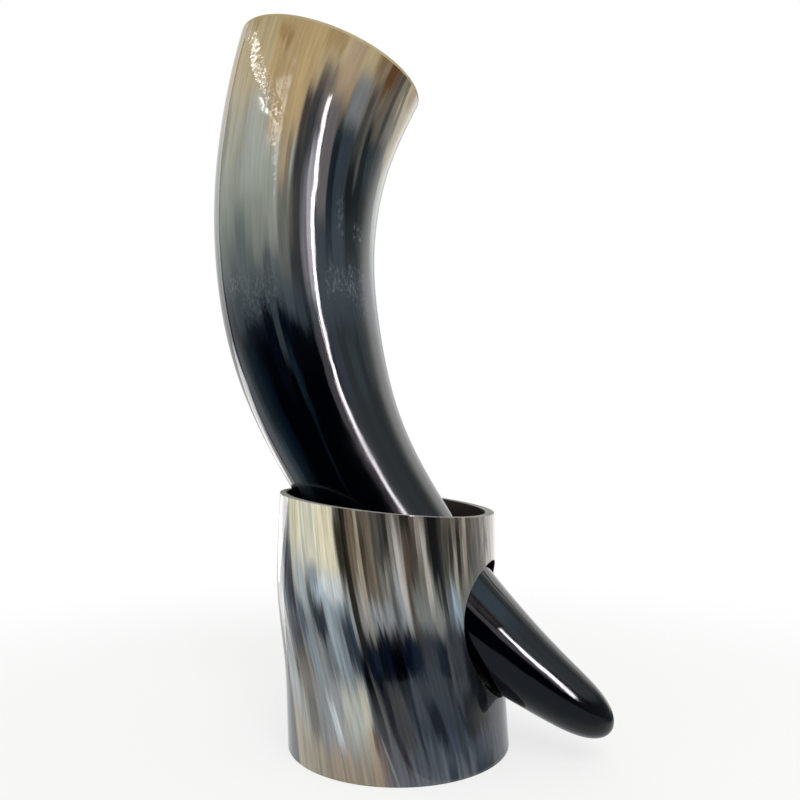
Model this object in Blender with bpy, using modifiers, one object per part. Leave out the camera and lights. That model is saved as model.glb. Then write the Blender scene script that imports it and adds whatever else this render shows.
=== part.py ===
"""Drinking horn leaning in a horn stand.

The cup is one polished cattle horn, hollow from its mouth and solid at its tip. It leans in a
short open section of a wider horn, and its tip comes out through a hole in that section's side.

Metres, +Z up. The stand's foot is on Z = 0, and the horn curves in a plane of constant Y, with
its tip towards +X. Lengths along the horn are counted from the middle of its mouth.
"""

from bisect import bisect_right
from math import atan, cos, pi, radians, sin, sqrt

import bmesh
import bpy
from mathutils import Matrix, Vector

# Horn: its bend eases from the mouth to the tip
HORN_LENGTH = 0.3152
HORN_PLANE_Y = -0.0010
MOUTH_X = -0.0302
MOUTH_Z = 0.2762
MOUTH_LEAN = radians(24.8)
MOUTH_BEND_RADIUS = 0.1663
TIP_BEND_RADIUS = 0.2670
MOUTH_SLOPE = radians(18.6)
TIP_BLUNTNESS = 19

# Horn's outside radius at lengths from the mouth
HORN_RADII = (
    (0.000, 0.0404),
    (0.038, 0.0370),
    (0.079, 0.0344),
    (0.126, 0.0316),
    (0.173, 0.0263),
    (0.221, 0.0220),
    (0.258, 0.0171),
    (0.293, 0.0131),
    (0.315, 0.0135),
)

# Horn's wall at lengths from the mouth, and the round bottom of its hollow
HORN_WALLS = (
    (0.000, 0.0032),
    (0.120, 0.0042),
    (0.235, 0.0070),
)
HOLLOW_DEPTH = 0.235
HOLLOW_BLUNTNESS = 12

# Stand: height on its axis, middle in X and outside radius
STAND_MIDDLES = (
    (0.0000, 0.0009),
    (0.0270, -0.0007),
    (0.0585, -0.0040),
    (0.0900, -0.0040),
)
STAND_RADII = (
    (0.0000, 0.0418),
    (0.0270, 0.0419),
    (0.0585, 0.0427),
    (0.0900, 0.0424),
)
STAND_HEIGHT = 0.0902
STAND_WALL = 0.0032
STAND_BORE_SHIFT = -0.0005
RIM_FALL = 0.1110
RIM_RISE = 0.0300

# Round hole through the stand's side, aimed down along the horn's tip
TIP_HOLE_RADIUS = 0.0222
TIP_HOLE_HEIGHT = 0.0442
TIP_HOLE_TILT = radians(20)

# Horn is drawn out of the stand along its own curve: that curve's radius, and where it is taken
DRAW_RADIUS = 0.2200
DRAW_LENGTH = 0.2150

# Sharp edges are rounded over this width
EDGE_ROUNDING = 0.0010

# Facets: rings lie evenly along the horn and its hollow, and crowd together over their round ends
ROUND_SIDES = 36
HORN_BODY_RINGS = 30
HOLLOW_RINGS = 24
ROUND_END_RINGS = 9
HORN_TIP_START = 0.277
HOLLOW_END_START = 0.188
STAND_RINGS = 10
EDGE_SEGMENTS = 2
EASED_ANGLE = radians(50)
SMOOTH_ANGLE = radians(40)
WELD_DISTANCE = 0.00002
AXIS_STEPS = 60

# How far a bar runs past the plane that cuts it, the tip hole's cutter past each side of the wall,
# and the side of the blocks that cut on a plane
OVERRUN = 0.020
HOLE_REACH_IN = 0.030
HOLE_REACH_OUT = 0.090
CUTTER_SIZE = 0.3

HORN_COLOUR = (0.030, 0.026, 0.024, 1.0)
STAND_COLOUR = (0.330, 0.280, 0.225, 1.0)
POLISH_ROUGHNESS = 0.15


def through(stations, place):
    """Value at a place on a smooth line through stations, which runs straight past both ends."""
    places = [station[0] for station in stations]
    values = [station[1] for station in stations]
    gaps = [after - before for before, after in zip(places, places[1:])]
    steps = [(after - before) / gap for before, after, gap in zip(values, values[1:], gaps)]
    middles = [(before + after) / 2 for before, after in zip(steps, steps[1:])]
    slopes = [steps[0], *middles, steps[-1]]
    if place <= places[0]:
        return values[0] + slopes[0] * (place - places[0])
    if place >= places[-1]:
        return values[-1] + slopes[-1] * (place - places[-1])
    i = bisect_right(places, place) - 1
    gap = gaps[i]
    t = (place - places[i]) / gap
    start = values[i] * (1 + 2 * t) * (1 - t) ** 2 + slopes[i] * gap * t * (1 - t) ** 2
    end = values[i + 1] * (3 - 2 * t) * t ** 2 - slopes[i + 1] * gap * (1 - t) * t ** 2
    return start + end


def horn_lean(length):
    """Angle of the horn's run from straight down, positive towards the tip's side."""
    easing = (1 / TIP_BEND_RADIUS - 1 / MOUTH_BEND_RADIUS) / (2 * HORN_LENGTH)
    return -MOUTH_LEAN + length / MOUTH_BEND_RADIUS + easing * length ** 2


def horn_axis(length):
    """Point on the horn's centreline."""
    step = length / AXIS_STEPS
    point = Vector((MOUTH_X, HORN_PLANE_Y, MOUTH_Z))
    for i in range(AXIS_STEPS):
        lean = horn_lean((i + 0.5) * step)
        point += Vector((sin(lean), 0, -cos(lean))) * step
    return point


def rounded(length, whole, bluntness):
    """Share of the full radius that a round end at the whole length leaves."""
    return sqrt(max(0, 1 - max(0, length / whole) ** bluntness))


def horn_radius(length):
    return through(HORN_RADII, length) * rounded(length, HORN_LENGTH, TIP_BLUNTNESS)


def hollow_radius(length):
    radius = through(HORN_RADII, length) - through(HORN_WALLS, length)
    return radius * rounded(length, HOLLOW_DEPTH, HOLLOW_BLUNTNESS)


def even(start, end, count):
    return [start + (end - start) * i / (count - 1) for i in range(count)]


def towards_end(start, end, count):
    """Places that crowd together towards the end, where a round end curves most."""
    return [start + (end - start) * sin(pi / 2 * i / count) for i in range(1, count)]


def material(name, colour):
    surface = bpy.data.materials.new(name)
    surface.use_nodes = True
    shader = surface.node_tree.nodes["Principled BSDF"]
    shader.inputs["Base Color"].default_value = colour
    shader.inputs["Roughness"].default_value = POLISH_ROUGHNESS
    shader.inputs["Metallic"].default_value = 0.0
    return surface


def round_bar(name, points, radii, collection):
    """Mesh object of a round bar through points, with a radius at each and closed ends."""
    curve = bpy.data.curves.new(name, "CURVE")
    curve.dimensions = "3D"
    curve.bevel_depth = 1.0
    curve.bevel_resolution = (ROUND_SIDES - 4) // 2
    curve.use_fill_caps = True
    spline = curve.splines.new("POLY")
    spline.points.add(len(points) - 1)
    for spline_point, point, radius in zip(spline.points, points, radii):
        spline_point.co = (*point, 1)
        spline_point.radius = radius
    guide = bpy.data.objects.new(name + "_guide", curve)
    collection.objects.link(guide)
    evaluated = guide.evaluated_get(bpy.context.evaluated_depsgraph_get())
    mesh = bpy.data.meshes.new_from_object(evaluated)
    mesh.name = name
    body = bmesh.new()
    body.from_mesh(mesh)
    bmesh.ops.remove_doubles(body, verts=body.verts, dist=WELD_DISTANCE)
    bmesh.ops.recalc_face_normals(body, faces=body.faces)
    body.to_mesh(mesh)
    body.free()
    bar = bpy.data.objects.new(name, mesh)
    bar.matrix_world = guide.matrix_world
    collection.objects.link(bar)
    bpy.data.objects.remove(guide)
    bpy.data.curves.remove(curve)
    return bar


def block(name, collection):
    """Cube that stands on the middle of its lower face, for cutting away one side of a plane."""
    mesh = bpy.data.meshes.new(name)
    body = bmesh.new()
    lift = Matrix.Translation((0, 0, CUTTER_SIZE / 2))
    bmesh.ops.create_cube(body, size=CUTTER_SIZE, matrix=lift)
    body.to_mesh(mesh)
    body.free()
    cube = bpy.data.objects.new(name, mesh)
    collection.objects.link(cube)
    return cube


def cut(piece, cutter):
    cutter.hide_render = True
    cutter.display_type = "WIRE"
    boolean = piece.modifiers.new(cutter.name, "BOOLEAN")
    boolean.operation = "DIFFERENCE"
    boolean.object = cutter


def ease_edges(piece):
    """Round the sharp edges that cutting leaves."""
    bevel = piece.modifiers.new("eased_edges", "BEVEL")
    bevel.limit_method = "ANGLE"
    bevel.angle_limit = EASED_ANGLE
    bevel.width = EDGE_ROUNDING
    bevel.segments = EDGE_SEGMENTS


def finish(piece, colour):
    piece.data.materials.append(material(piece.name, colour))
    piece.data.shade_smooth()
    piece.data.set_sharp_from_angle(angle=SMOOTH_ANGLE)


def build_horn(parts, cutters):
    """Horn: a tapering bent bar, cut off at the mouth and hollowed from there."""
    lengths = even(-OVERRUN, HORN_TIP_START, HORN_BODY_RINGS)
    lengths += towards_end(HORN_TIP_START, HORN_LENGTH, ROUND_END_RINGS)
    points = [horn_axis(length) for length in lengths]
    horn = round_bar("drinking_horn", points, [horn_radius(s) for s in lengths], parts)

    lengths = even(-2 * OVERRUN, HOLLOW_END_START, HOLLOW_RINGS)
    lengths += towards_end(HOLLOW_END_START, HOLLOW_DEPTH, ROUND_END_RINGS)
    points = [horn_axis(length) for length in lengths]
    hollow = round_bar("horn_hollow", points, [hollow_radius(s) for s in lengths], cutters)
    cut(horn, hollow)

    mouth = block("mouth_plane", cutters)
    mouth.location = horn_axis(0)
    mouth.rotation_euler = (0, MOUTH_SLOPE, 0)
    cut(horn, mouth)
    ease_edges(horn)
    finish(horn, HORN_COLOUR)
    return horn


def build_stand(parts, cutters):
    """Stand: a short open tube with a flat foot, a slanting rim and a hole for the tip."""
    heights = even(-OVERRUN, STAND_HEIGHT + OVERRUN, STAND_RINGS)
    points = [Vector((through(STAND_MIDDLES, z), 0, z)) for z in heights]
    radii = [through(STAND_RADII, z) for z in heights]
    stand = round_bar("horn_stand", points, radii, parts)
    bore_points = [point + Vector((STAND_BORE_SHIFT, 0, 0)) for point in points]
    bore_points[0].z -= OVERRUN
    bore_points[-1].z += OVERRUN
    bore_radii = [radius - STAND_WALL for radius in radii]
    cut(stand, round_bar("stand_bore", bore_points, bore_radii, cutters))

    foot = block("foot_plane", cutters)
    foot.rotation_euler = (pi, 0, 0)
    cut(stand, foot)

    rim = block("rim_plane", cutters)
    rim.location = (through(STAND_MIDDLES, STAND_HEIGHT), 0, STAND_HEIGHT)
    rim.rotation_euler = (atan(RIM_RISE), atan(RIM_FALL), 0)
    cut(stand, rim)

    aim = Vector((cos(TIP_HOLE_TILT), 0, -sin(TIP_HOLE_TILT)))
    wall_x = through(STAND_MIDDLES, TIP_HOLE_HEIGHT) + through(STAND_RADII, TIP_HOLE_HEIGHT)
    wall_point = Vector((wall_x, HORN_PLANE_Y, TIP_HOLE_HEIGHT))
    hole_points = [wall_point + aim * reach for reach in (-HOLE_REACH_IN, HOLE_REACH_OUT)]
    hole = round_bar("tip_hole", hole_points, [TIP_HOLE_RADIUS] * 2, cutters)
    cut(stand, hole)
    ease_edges(stand)
    finish(stand, STAND_COLOUR)
    return stand


for old in list(bpy.data.objects):
    bpy.data.objects.remove(old)
part_collection = bpy.data.collections.new("drinking_horn_and_stand")
cutter_collection = bpy.data.collections.new("cutters")
for collection in (part_collection, cutter_collection):
    bpy.context.scene.collection.children.link(collection)

# Axis of the curve on which the horn is drawn out, on the inner side of its bend
lean = horn_lean(DRAW_LENGTH)
draw_axis = bpy.data.objects.new("horn_draw_axis", None)
draw_axis.location = horn_axis(DRAW_LENGTH) + Vector((cos(lean), 0, sin(lean))) * DRAW_RADIUS
part_collection.objects.link(draw_axis)
bpy.context.view_layer.update()

drinking_horn = build_horn(part_collection, cutter_collection)
drinking_horn.parent = draw_axis
drinking_horn.matrix_parent_inverse = draw_axis.matrix_world.inverted()
build_stand(part_collection, cutter_collection)
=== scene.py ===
from bisect import bisect_right
from math import atan2, cos, degrees, pi, radians, sin, sqrt

import bpy
import numpy as np
from mathutils import Matrix, Vector


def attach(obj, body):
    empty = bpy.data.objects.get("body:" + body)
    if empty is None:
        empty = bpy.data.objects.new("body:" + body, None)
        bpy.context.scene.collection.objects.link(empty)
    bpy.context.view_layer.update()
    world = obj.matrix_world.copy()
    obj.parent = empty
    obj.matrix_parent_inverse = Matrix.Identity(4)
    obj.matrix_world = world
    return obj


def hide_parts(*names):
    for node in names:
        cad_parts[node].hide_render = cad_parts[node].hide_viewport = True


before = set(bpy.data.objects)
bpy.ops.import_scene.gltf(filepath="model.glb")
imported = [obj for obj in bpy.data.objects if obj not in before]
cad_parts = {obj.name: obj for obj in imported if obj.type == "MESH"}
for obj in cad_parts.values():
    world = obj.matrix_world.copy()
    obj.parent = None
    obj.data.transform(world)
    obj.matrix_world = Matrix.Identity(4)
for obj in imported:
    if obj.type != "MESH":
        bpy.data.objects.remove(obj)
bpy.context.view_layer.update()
bpy.ops.object.select_all(action="DESELECT")


# Camera: a short lens close to the horn, turned a little towards its tip's side.
# It stands just above the stand's rim and looks up slightly.
CAMERA_PLACE = (0.0872, -0.2584, 0.1003)
CAMERA_AIM = Vector((-0.3130, 0.9434, 0.1100))
CAMERA_LENS = 30.476
CAMERA_NEAR = 0.01

turned = CAMERA_AIM.to_track_quat("-Z", "Y").to_euler()
bpy.ops.object.camera_add(location=CAMERA_PLACE, rotation=turned)
camera = bpy.context.object
camera.data.lens = CAMERA_LENS
camera.data.clip_start = CAMERA_NEAR
bpy.context.scene.camera = camera
bpy.context.scene.view_settings.view_transform = "Standard"


# Studio: a white cloth tent around the horn, on a sheet of white paper. The tent's front is open and
# dark, so that polished horn shows pale sides and a black middle.
FLOOR_SIZE = 6.0
FLOOR_WHITE = "#F4F4F2"
SHADOW_NEAR, SHADOW_FAR = 0.14, 0.42
SHADOW_WHITENING = 0.70
STAND_INSIDE = (0.039, 0.041)
TENT_WHITE = "#FFFFFF"
TENT_LIGHT = 0.66


def linear(hex_colour):
    """Linear colour of an sRGB hex value."""
    channels = [int(hex_colour[i:i + 2], 16) / 255 for i in (1, 3, 5)]
    return (*[c / 12.92 if c < 0.0405 else ((c + 0.055) / 1.055) ** 2.4 for c in channels], 1)


def lay(tree, kind, inputs, stops=(), **settings):
    """New node of a kind with its settings; an input is a value, a node or a node's output.

    A colour ramp also has stops, each a place from 0 to 1 and a linear colour.
    """
    node = tree.nodes.new("ShaderNode" + kind)
    for setting, value in settings.items():
        setattr(node, setting, value)
    for key, value in inputs.items():
        if isinstance(value, bpy.types.Node):
            value = value.outputs[0]
        if isinstance(value, bpy.types.NodeSocket):
            tree.links.new(value, node.inputs[key])
        else:
            node.inputs[key].default_value = value
    if stops:
        marks = node.color_ramp.elements
        marks.remove(marks[1])
        marks[0].position, marks[0].color = stops[0]
        for place, colour in stops[1:]:
            marks.new(place).color = colour
    return node


def in_view(tree):
    """1 for what the camera, a reflection or glass sees, and 0 for the light that falls on a piece."""
    path = lay(tree, "LightPath", {})
    seen = lay(tree, "Math", {0: path.outputs["Is Camera Ray"], 1: path.outputs["Is Glossy Ray"]},
               operation="MAXIMUM")
    return lay(tree, "Math", {0: seen, 1: path.outputs["Is Transmission Ray"]}, operation="MAXIMUM")


world = bpy.data.worlds.new("white_tent")
bpy.context.scene.world = world
world.use_nodes = True
tree = world.node_tree
tent = tree.nodes["Background"]
tent.inputs["Color"].default_value = linear(TENT_WHITE)
level = lay(tree, "MapRange", {"Value": in_view(tree), "To Min": TENT_LIGHT, "To Max": 1.0})
tree.links.new(level.outputs[0], tent.inputs["Strength"])

bpy.ops.mesh.primitive_plane_add(size=FLOOR_SIZE)
floor = bpy.context.object
floor.name = "floor"
# Matt paper: it looks pure white further out, keeps the shadow near the stand, and is dim inside it
paper = bpy.data.materials.new("white_paper_sheet")
paper.use_nodes = True
tree = paper.node_tree
tree.nodes.remove(tree.nodes["Principled BSDF"])
where = lay(tree, "TexCoord", {})
away = lay(tree, "VectorMath", {0: where.outputs["Object"]}, operation="LENGTH")
fade = lay(tree, "MapRange", {"Value": away.outputs["Value"], "From Min": SHADOW_NEAR,
                              "From Max": SHADOW_FAR, "To Min": SHADOW_WHITENING},
           interpolation_type="SMOOTHSTEP")
fade = lay(tree, "Math", {0: fade, 1: in_view(tree)}, operation="MULTIPLY")
outside = lay(tree, "MapRange", {"Value": away.outputs["Value"], "From Min": STAND_INSIDE[0],
                                 "From Max": STAND_INSIDE[1]})
fade = lay(tree, "Math", {0: fade, 1: outside}, operation="MULTIPLY")
matt = lay(tree, "BsdfDiffuse", {"Color": linear(FLOOR_WHITE)})
white = lay(tree, "Emission", {"Color": linear(TENT_WHITE), "Strength": 1.0})
sheet = lay(tree, "MixShader", {0: fade, 1: matt, 2: white})
tree.links.new(sheet.outputs[0], tree.nodes["Material Output"].inputs["Surface"])
floor.data.materials.append(paper)

# Tent: a ring of white cloth with a floor, brighter or darker around it, which only reflections see.
# A panel is its angle from the front and its brightness there; the skirt is the cloth near the floor.
TENT_NEAR, TENT_FULL, TENT_RADIUS = 0.095, 0.145, 1.40
TENT_LIFT, TENT_HEIGHT = 0.0005, 1.60
TENT_SIDES = 96
SKIRT_TOP, PANELS_FOOT = 0.45, 0.80
TENT_PANELS = ((-180, 0.80), (-112, 0.85), (-108, 1.40), (-106, 1.30), (-105, 0.00), (-101, 0.00),
               (-100, 0.60), (-85, 0.55), (-72, 0.20), (-58, 0.10), (-45, 0.01), (41, 0.00), (47, 0.30),
               (53, 0.75), (60, 0.80), (75, 0.60), (92, 0.62), (108, 0.45), (118, 0.45), (127, 0.60),
               (134, 1.15), (142, 1.70), (180, 1.60))
TENT_SKIRT = ((-180, 0.80), (-112, 0.85), (-108, 1.40), (-106, 1.30), (-105, 0.00), (-101, 0.00),
              (-100, 0.50), (-85, 0.40), (-72, 0.12), (-58, 0.05), (-45, 0.00), (30, 0.00), (45, 0.10),
              (100, 0.15), (118, 0.20), (129, 0.40), (136, 0.85), (143, 1.25), (180, 1.30))
TENT_TINT = (0.84, 0.98, 1.08)
TINTED_ANGLES = (0, 120)

bpy.ops.mesh.primitive_plane_add(size=0.1)
cloth_ring = bpy.context.object
cloth_ring.name = "tent"
bpy.ops.object.mode_set(mode="EDIT")
bpy.ops.mesh.merge(type="CENTER")
bpy.ops.transform.translate(value=(0, TENT_NEAR, TENT_LIFT))
bpy.ops.mesh.extrude_region_move(TRANSFORM_OT_translate={"value": (0, TENT_RADIUS - TENT_NEAR, 0)})
bpy.ops.mesh.extrude_region_move(TRANSFORM_OT_translate={"value": (0, 0, TENT_HEIGHT)})
bpy.ops.mesh.select_all(action="SELECT")
bpy.ops.mesh.spin(steps=TENT_SIDES, angle=2 * pi, center=(0, 0, 0), axis=(0, 0, 1))
bpy.ops.mesh.select_all(action="SELECT")
bpy.ops.mesh.remove_doubles(threshold=0.0001)
bpy.ops.object.mode_set(mode="OBJECT")
cloth = bpy.data.materials.new("tent_cloth")
cloth.use_nodes = True
tree = cloth.node_tree
tree.nodes.remove(tree.nodes["Principled BSDF"])
where = lay(tree, "TexCoord", {})
where = lay(tree, "SeparateXYZ", {0: where.outputs["Object"]})
ahead = lay(tree, "Math", {0: where.outputs["Y"], 1: -1.0}, operation="MULTIPLY")
azimuth = lay(tree, "Math", {0: where.outputs["X"], 1: ahead}, operation="ARCTAN2")
share = lay(tree, "MapRange", {"Value": azimuth, "From Min": -pi, "From Max": pi})
rise = lay(tree, "MapRange", {"Value": where.outputs["Z"], "From Min": SKIRT_TOP, "From Max": PANELS_FOOT},
           interpolation_type="SMOOTHSTEP")
bands = []
for panels in (TENT_SKIRT, TENT_PANELS):
    stops = []
    for panel_angle, brightness in panels:
        tinted = TINTED_ANGLES[0] < panel_angle < TINTED_ANGLES[1]
        tint = TENT_TINT if tinted else (1, 1, 1)
        stops.append(((panel_angle + 180) / 360, [brightness * part for part in tint] + [1]))
    bands.append(lay(tree, "ValToRGB", {0: share}, stops))
cloth_light = lay(tree, "Mix", {0: rise, 6: bands[0], 7: bands[1]}, data_type="RGBA")
glow = lay(tree, "Emission", {"Color": cloth_light.outputs[2], "Strength": 1.0})
flat = lay(tree, "CombineXYZ", {0: where.outputs["X"], 1: where.outputs["Y"]})
away = lay(tree, "VectorMath", {0: flat}, operation="LENGTH")
begin = lay(tree, "MapRange", {"Value": away.outputs["Value"], "From Min": TENT_NEAR,
                               "From Max": TENT_FULL}, interpolation_type="SMOOTHSTEP")
cover = lay(tree, "MixShader", {0: begin, 1: lay(tree, "BsdfTransparent", {}), 2: glow})
tree.links.new(cover.outputs[0], tree.nodes["Material Output"].inputs["Surface"])
cloth_ring.data.materials.append(cloth)
cloth_ring.visible_camera = cloth_ring.visible_diffuse = cloth_ring.visible_shadow = False

# Lamps: a tall strip stands at the opening's right edge with a dimmer glow beside it, thin bars cross
# its upper left, and a small lamp behind lights the bend's edge. A big soft box lights all of it.
LAMP_PINK = (1.0, 0.93, 1.0)
MOUTH_SIDE = (-0.04, -0.04, 0.255)
BEND_SIDE = (-0.06, -0.01, 0.15)


def facing(place, target, along):
    """Turn of a lamp or card whose front faces a target and whose length runs along a direction."""
    back = (Vector(place) - Vector(target)).normalized()
    length = Vector(along) - back * back.dot(Vector(along))
    length.normalize()
    return Matrix((length, back.cross(length), back)).transposed().to_euler()


def area_lamp(name, place, target, along, length, width, power):
    """Flat lamp at a place, facing a target; the camera never sees it."""
    bpy.ops.object.light_add(type="AREA", location=place, rotation=facing(place, target, along))
    lamp = bpy.context.object
    lamp.name = name
    lamp.data.shape = "RECTANGLE"
    lamp.data.size, lamp.data.size_y = length, width
    lamp.data.energy = power
    lamp.visible_camera = False
    return lamp


for lamp in (
    area_lamp("strip_lamp", (0.882, -0.812, 0.645), (0, 0, 0.645), (0, 0, 1), 0.43, 0.100, 3.9),
    area_lamp("strip_foot", (0.847, -0.849, 0.342), (0, 0, 0.342), (0.078, 0.080, 0.22), 0.215, 0.085, 1.6),
    area_lamp("strip_glow", (0.80, -0.97, 0.43), (0, 0, 0.43), (0, 0, 1), 0.40, 0.27, 0.33),
    area_lamp("bar_lamp", (-0.617, -0.283, 0.682), MOUTH_SIDE, (0.102, -0.155, -0.138), 0.23, 0.009, 0.30),
    area_lamp("bar_end", (-0.461, -0.468, 0.554), MOUTH_SIDE, (0.211, -0.215, -0.119), 0.32, 0.007, 0.30),
    area_lamp("bar_tail", (-0.205, -0.573, 0.431), MOUTH_SIDE, (0.171, -0.065, -0.053), 0.19, 0.006, 0.072),
    area_lamp("bar_spot", (-0.085, -0.612, 0.392), MOUTH_SIDE, (0.171, -0.065, -0.053), 0.05, 0.020, 0.016),
    area_lamp("edge_lamp", (-0.362, 0.165, 0.080), BEND_SIDE, (0.077, 0.166, -0.112), 0.22, 0.09, 0.124),
):
    lamp.visible_diffuse = False
    if lamp.name.startswith("strip"):
        lamp.data.color = LAMP_PINK
soft = area_lamp("soft_box", (0.55, -0.9, 1.1), (0, 0, 0.15), (1, 0, 0), 0.8, 0.8, 9)
soft.visible_glossy = False


def flag(name, place, target, along, length, width, colour, thinning=None):
    """Small card near the horn's tip, which only reflections see.

    Thinning is the two places along Y between which the card fades out.
    """
    bpy.ops.mesh.primitive_plane_add(size=1, location=place, rotation=facing(place, target, along))
    card = bpy.context.object
    card.name = name
    card.scale = (length, width, 1)
    bpy.ops.object.transform_apply(location=True, rotation=True, scale=True)
    felt = bpy.data.materials.new(name + "_felt")
    felt.use_nodes = True
    tree = felt.node_tree
    tree.nodes.remove(tree.nodes["Principled BSDF"])
    dim = lay(tree, "Emission", {"Color": linear(colour), "Strength": 1.0})
    if thinning:
        spot = lay(tree, "SeparateXYZ", {0: lay(tree, "TexCoord", {}).outputs["Object"]})
        thin = lay(tree, "MapRange", {"Value": spot.outputs["Y"], "From Min": thinning[0],
                                      "From Max": thinning[1]}, interpolation_type="SMOOTHSTEP")
        dim = lay(tree, "MixShader", {0: thin, 1: dim, 2: lay(tree, "BsdfTransparent", {})})
    tree.links.new(dim.outputs[0], tree.nodes["Material Output"].inputs["Surface"])
    card.data.materials.append(felt)
    card.visible_camera = card.visible_diffuse = card.visible_shadow = False


# A grey card hides the strip lamp from the tip beside its hole, a grey sheet lies where the floor under the
# tip is only shaded, as painted shade that the tip and the stand's foot mirror, and a thin card draws a dark
# line along the tip's upper edge
flag("grey_flag", (0.0745, -0.0532, 0.0802), (0.034, -0.016, 0.056), (0.68, 0.09, -0.73),
     0.029, 0.022, "#595959")
# Painted floor shade for reflections: a grey sheet standing in for the shadowed floor under the tip
flag("floor_mat", (0.105, -0.045, 0.001), (0.105, -0.045, 1), (1, 0, 0), 0.16, 0.21, "#8D98A3",
     thinning=(-0.035, 0.020))
flag("dark_flag", (0.0875, 0.0360, 0.0743), (0.052, -0.005, 0.047), (0.72, 0.04, -0.69),
     0.052, 0.004, "#262626")


# Stand: a short open section sawn from a wide cattle horn, polished outside and left dull inside.
# Its rim slants, its foot is flat, and a round hole bored through one side lets the cup's tip out.
STAND_MIDDLES = ((0.0000, 0.0009), (0.0270, -0.0007), (0.0585, -0.0040), (0.0900, -0.0040))
STAND_RADII = ((0.0000, 0.0418), (0.0270, 0.0419), (0.0585, 0.0427), (0.0900, 0.0424))
STAND_HEIGHT = 0.0902
STAND_WALL = 0.0032
STAND_BORE_SHIFT = -0.0005
RIM_FALL, RIM_RISE = 0.1110, 0.0300
TIP_HOLE_RADIUS = 0.0222
TIP_HOLE_HEIGHT = 0.0442
TIP_HOLE_TILT = radians(20)
HORN_PLANE_Y = -0.0010
STAND_EDGE_ROUNDING = 0.0003
SHEET_COLUMNS, SHEET_ROWS = 144, 34
SHEET_HEIGHT = 0.085
HOLE_WINDOW_ANGLES = (47.5, 132.5)
HOLE_WINDOW_HEIGHTS = (0.010, 0.0775)
HOLE_RINGS = 8
HOLE_EDGE_STEPS = 12
HOLE_SIDE = 0.02
HOLE_SPAN = (0.018, 0.075)
FOOT_TOP = 0.001
ANGLE_SLACK, HEIGHT_SLACK = 0.01, 0.0001
SHARP_EDGE, SMOOTH_EDGE = radians(45), radians(12)


def through(stations, place):
    """Value at a place on a smooth line through stations, which runs straight past both ends."""
    places = [station[0] for station in stations]
    values = [station[1] for station in stations]
    gaps = [after - before for before, after in zip(places, places[1:])]
    steps = [(after - before) / gap for before, after, gap in zip(values, values[1:], gaps)]
    middles = [(before + after) / 2 for before, after in zip(steps, steps[1:])]
    slopes = [steps[0], *middles, steps[-1]]
    if place <= places[0]:
        return values[0] + slopes[0] * (place - places[0])
    if place >= places[-1]:
        return values[-1] + slopes[-1] * (place - places[-1])
    i = bisect_right(places, place) - 1
    gap = gaps[i]
    t = (place - places[i]) / gap
    begin = values[i] * (1 + 2 * t) * (1 - t) ** 2 + slopes[i] * gap * t * (1 - t) ** 2
    end = values[i + 1] * (3 - 2 * t) * t ** 2 - slopes[i + 1] * gap * (1 - t) * t ** 2
    return begin + end


def wall_point(angle, height, depth, shift):
    """Point of the stand's wall: angle from the front, and depth under the outer face."""
    radius = through(STAND_RADII, height) - depth
    middle = through(STAND_MIDDLES, height) + shift
    return Vector((middle + radius * sin(angle), -radius * cos(angle), height))


def hole_edge(turn, depth, shift):
    """Angle and height at which the tip hole's side meets the wall, neared step by step."""
    aim = Vector((cos(TIP_HOLE_TILT), 0, -sin(TIP_HOLE_TILT)))
    up = Vector((sin(TIP_HOLE_TILT), 0, cos(TIP_HOLE_TILT)))
    outer_x = through(STAND_MIDDLES, TIP_HOLE_HEIGHT) + through(STAND_RADII, TIP_HOLE_HEIGHT)
    point = Vector((outer_x, HORN_PLANE_Y, TIP_HOLE_HEIGHT))
    point += TIP_HOLE_RADIUS * (cos(turn) * Vector((0, 1, 0)) + sin(turn) * up)
    for step in range(HOLE_EDGE_STEPS):
        middle = through(STAND_MIDDLES, point.z) + shift
        radius = through(STAND_RADII, point.z) - depth
        point = point + aim * ((middle + sqrt(radius ** 2 - point.y ** 2) - point.x) / aim.x)
    middle = through(STAND_MIDDLES, point.z) + shift
    return degrees(atan2(point.x - middle, -point.y)), point.z


def edge_middle(piece, edge):
    return sum((piece.data.vertices[v].co for v in edge.vertices), Vector()) / 2


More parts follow.
